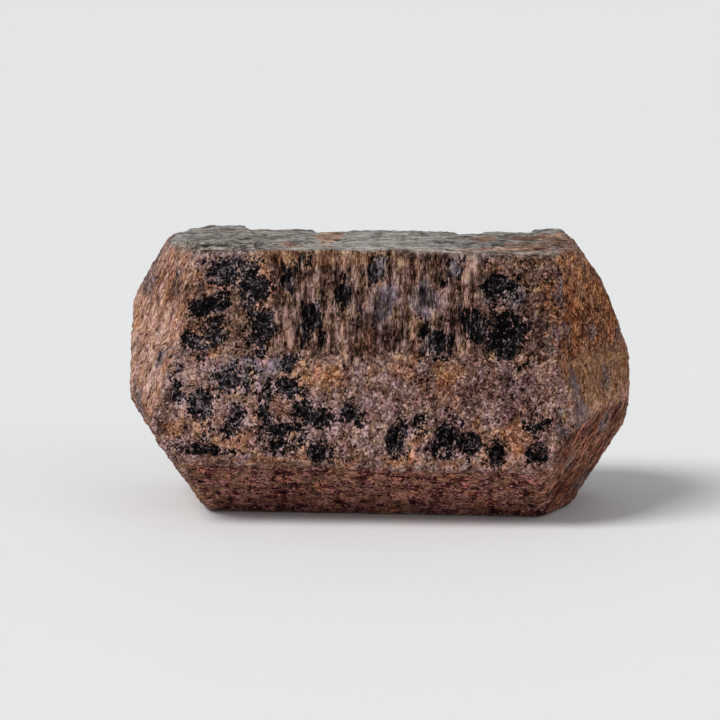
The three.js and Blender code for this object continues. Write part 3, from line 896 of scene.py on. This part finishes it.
class Grains:
    """The grains at these places: how bright each is, with painted glints on a few, how warm, and the facets
    they end in.

    Blocky grains, at 1, are told apart by their own tones, and drawn-out ones, at 0, by noise. The
    numbers are the weights of the small and the middling grains and of ever broader noise.
    """

    def __init__(self, places, blocky):
        wobbled = places.wobbled(*GRAIN_WOBBLE)
        small = wobbled.cells(SMALL_GRAINS)
        middling = wobbled.cells(MIDDLING_GRAINS)
        self.value = (
            0.5
            + (small.channel(0) - 0.5) * (0.36 * blocky)
            + (middling.channel(0) - 0.5) * (0.20 * blocky)
            + places.swells(4.8, 2.0) * (1.5 - 0.6 * blocky)
            + places.swells(2.0) * (1.1 - 0.5 * blocky)
            + places.swells(0.7, 4.0, 0.65) * 0.8
            # Painted glints: a few small grains are made much lighter, as highlights.
            + small.channel(2).step(*PAINTED_GLINT_STEP) * (0.26 * blocky)
        )
        self.warmth = (
            (small.channel(1) - 0.5) * (0.2 * blocky)
            + (middling.channel(1) - 0.5) * (0.3 * blocky)
            + places.swells(0.45, 4.0, 0.65) * 3.0
        )
        facets = wobbled.facets(SMALL_GRAINS) * 0.8 + wobbled.facets(MIDDLING_GRAINS) * 0.4
        self.height = facets * (0.4 + 0.6 * blocky)


def crystal_material():
    paint = Paint("vesuvianite")
    mm = paint.node("ShaderNodeTexCoord", {}, output="Object").scaled(1 / MM)
    marks = {name: paint.marked(name) for name in FINISHES}
    ribbed, sheeted_and_sheen, banded_and_shaded, pale, olive, slanted = (
        marks[name] for name in ("ribbed", "sheeted_and_sheen", "banded_and_shaded", "pale", "olive", "slanted")
    )

    # The grains lie in their own way on each finish, and where two finishes meet they fray.
    fray = mm.swells(FRAY_SWELLS) * FRAY
    fibrous = (paint.marked("fibrous") + ribbed * RIBS_AS_FIBRES).step(*FIBROUS_STEP)
    streaked = pale.larger(olive * OLIVE_STREAKS)
    marks.update(fibrous=fibrous, streaked=streaked.larger(slanted))
    places = (
        mm.lying(*BLOCKS)
        .swapped(mm.lying(*FIBRES), fibrous + fray)
        .swapped(mm.lying(*SHEETS), sheeted_and_sheen)
        .swapped(mm.lying(*BANDS), banded_and_shaded + fray * PATTERN_FRAY)
        .swapped(mm.lying(*STREAKS), streaked + fray * PATTERN_FRAY)
        .swapped(mm.lying(*STEEP_STREAKS), slanted + fray * PATTERN_FRAY)
    )
    grains = Grains(places, 1 - weighed(marks, LESS_BLOCKY))

    # How light each place is: its grains, longer shafts and slants over them, the painted highlights on the
    # ledge's rim and the right edge, and the broad tones.
    shafts = mm.lying(*LONG_SHAFTS).swells(SHAFT_SWELLS) * fibrous
    slants = mm.lying(*LONG_SLANTS).swells(SLANT_SWELLS) * pale.larger(slanted)
    mottles = mm.swells(MOTTLE_SWELLS) * fibrous.larger(banded_and_shaded)
    value = (
        grains.value + (grains.value - 0.5) * weighed(marks, MORE_CONTRAST)
        + paint.marked("rim_highlight") * RIM_HIGHLIGHT + paint.marked("edge_highlight") * EDGE_HIGHLIGHT + paint.marked("tone")
        + shafts + slants * SLANT_LIGHT + mottles * MOTTLE_LIGHT
    )

    colour = value.ramp(GRANULAR)
    for scale, share in (
        (FIBROUS, ribbed),
        # The banded undersides: purple-brown, partly painted shade.
        (BANDED_IN_SHADE, (banded_and_shaded + fray * BANDED_FRAY).step(*BANDED_STEP)),
        (PALE, pale),
        (RUSTY, marks["rusty"]),
        (OLIVE, olive),
        (SLANTED, slanted),
        (OLIVE, paint.marked("lip") * LIP_SHARE),
    ):
        colour = colour.mixed(value.ramp(scale), share)

    # Rust and violet stains, the painted grey sheen of the top, and the tints.
    clumps = mm.swells(CLUMP_SWELLS) * CLUMPS
    warmth = grains.warmth * STAIN_WARMTH
    rust = (paint.marked("rust") * RUST_GAIN + clumps + warmth).step(*STAIN_STEP) * (1 - banded_and_shaded)
    violet = (paint.marked("violet") + clumps - warmth).step(*STAIN_STEP) * (1 - banded_and_shaded)
    colour = colour.mixed(value.ramp(RUST), rust * RUST_SHARE)
    colour = colour.mixed(value.ramp(VIOLET), violet * VIOLET_SHARE)
    # Painted sheen: the top's sheets are turned grey, less where rust shows through.
    colour = colour.mixed(value.ramp(GREY_SHEEN), sheeted_and_sheen * (1 - rust * RUST_THROUGH_SHEETS))
    tinted = 1 - weighed(marks, LESS_TINTED)
    colour = colour.tinted(WARM, grains.warmth.step(*WARMTH_STEP) * tinted)
    colour = colour.tinted(COOL, (0 - grains.warmth).step(*WARMTH_STEP) * tinted)
    hues = mm.lying(*HUES).noise(HUE_SWELLS)
    hued = 1 - sheeted_and_sheen * LESS_HUED
    colour = colour.tinted(PINK, hues.step(*HUE_STEP) * hued)
    colour = colour.tinted(OCHRE, (1 - hues).step(*HUE_STEP) * hued)

    # The dark mineral, in clumps of grains; its brightest tone is painted glints.
    darkness = (
        paint.marked("dark") - DARK_THINNING + clumps * DARK_CLUMPS
        - (grains.value - 0.5) * DARK_GRAINS
    )
    dark = darkness.step(*DARK_STEP) * (1 - sheeted_and_sheen.larger(banded_and_shaded) * LESS_DARK)
    colour = colour.mixed(value.ramp(DARK_WITH_GLINTS), dark)

    # Cracks on the top and wavy seams under the front, both broken off here and there.
    cracks = mm.lying(*CRACKS).wobbled(*CRACK_WOBBLE).line(*CRACK_LINES)
    crack = cracks * sheeted_and_sheen * mm.noise(CRACK_SWELLS).step(*CRACK_STEP)
    colour = colour.mixed(CRACK, crack * CRACK_SHARE)
    seams = mm.lying(*SEAMS).wobbled(*SEAM_WOBBLE)
    waves = seams.line(*SEAM_LINES).larger(seams.line(*FINE_SEAM_LINES))
    seam = waves * banded_and_shaded.larger(slanted * SLANTED_SEAMS) * mm.noise(SEAM_SWELLS).step(*SEAM_STEP)
    colour = colour.mixed(TAN, seam * SEAM_SHARE)

    fine = mm.noise(FINE_SWELLS, roughness=0.7)
    roughness = (
        ROUGHNESS - dark * DARK_SMOOTHER - sheeted_and_sheen * SHEETED_SMOOTHER
        + (fine - 0.5) * FINE_ROUGHNESS
    )
    height = (
        grains.height * (1 - sheeted_and_sheen * SHEETED_FLATTER) + value * VALUE_BUMP + fine * FINE_BUMP
        - dark * DARK_BUMP - crack * CRACK_BUMP + seam * SEAM_BUMP
    )
    bumped = paint.node("ShaderNodeBump", {"Height": height, "Strength": 1.0, "Distance": MM})
    paint.surface(
        Base_Color=colour, Roughness=roughness, Normal=bumped, Specular_IOR_Level=SPECULAR,
    )
    return paint.material


# ---------------------------------------------------------------- floor, light and camera

FLOOR_SIZE = 30.0  # m, so that its edge stays out of sight
FLOOR_COLOUR = (0.86, 0.86, 0.85)
FLOOR_ROUGHNESS = 0.7

# Lights: where each stands seen from the crystal, how wide it looks in degrees, and its strength.
KEY_LIGHT = ((-0.45, -0.30, 0.62), 26, 2.3)
FILL_LIGHT = ((0.60, -0.60, 0.35), 50, 0.35)
SKY_COLOUR = (0.95, 0.97, 1.0)
SKY_STRENGTH = 0.38

SIGHT_ELEVATION = 9  # degrees over the horizon
SIGHT_DISTANCE = 330 * MM
SIGHT_WIDTH = 96 * MM  # what the view spans at the crystal
SIGHT_ROLL = 0.5  # degrees
SENSOR_WIDTH = 36  # mm, of the camera
NEAREST = 0.01  # m
AIM_ALONG = -3.0 * MM  # from the crystal's middle to the middle of the view
AIM_UP = 1.2 * MM


def plain_material(name, colour, roughness):
    paint = Paint(name)
    paint.surface(Base_Color=(*colour, 1.0), Roughness=roughness)
    return paint.material


def lay_floor():
    deselect_all()
    bpy.ops.mesh.primitive_plane_add(size=FLOOR_SIZE)
    floor = bpy.context.active_object
    floor.name = "floor"
    floor.data.materials.append(plain_material("pale_floor", FLOOR_COLOUR, FLOOR_ROUGHNESS))


def add_light(name, out, spread, strength):
    """A soft light from this side, equally strong all over the floor."""
    light = bpy.data.lights.new(name, "SUN")
    light.angle = math.radians(spread)
    light.energy = strength
    lamp = bpy.data.objects.new(name, light)
    lamp.location = out
    lamp.rotation_mode = "QUATERNION"
    lamp.rotation_quaternion = (-Vector(out)).to_track_quat("-Z", "Y")
    bpy.context.scene.collection.objects.link(lamp)


def light_studio():
    add_light("key", *KEY_LIGHT)
    add_light("fill", *FILL_LIGHT)
    world = bpy.data.worlds.new("studio")
    world.use_nodes = True
    background = world.node_tree.nodes["Background"]
    background.inputs["Color"].default_value = (*SKY_COLOUR, 1.0)
    background.inputs["Strength"].default_value = SKY_STRENGTH
    bpy.context.scene.world = world
    bpy.context.scene.view_settings.view_transform = "Standard"


def set_camera(centre):
    camera = bpy.data.objects.new("camera", bpy.data.cameras.new("camera"))
    camera.data.sensor_width = SENSOR_WIDTH
    camera.data.lens = SENSOR_WIDTH * SIGHT_DISTANCE / SIGHT_WIDTH
    camera.data.clip_start = NEAREST
    elevation = math.radians(SIGHT_ELEVATION)
    back = Vector((0, -math.cos(elevation), math.sin(elevation)))
    up = Vector((0, math.sin(elevation), math.cos(elevation)))
    aim = centre + Vector((AIM_ALONG, 0, 0)) + up * AIM_UP
    camera.location = aim + back * SIGHT_DISTANCE
    camera.rotation_euler = (math.radians(90 - SIGHT_ELEVATION), 0, 0)
    camera.rotation_euler.rotate_axis("Z", math.radians(SIGHT_ROLL))
    bpy.context.scene.collection.objects.link(camera)
    bpy.context.scene.camera = camera


# ---------------------------------------------------------------- putting it together

set_camera((cad_low + cad_high) / 2)
lay_floor()
light_studio()

crystal = crystal_surface()
crystal.data.materials.append(crystal_material())
work_on(crystal)
bpy.ops.object.shade_smooth()
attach(crystal, "root")
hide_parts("crystal")
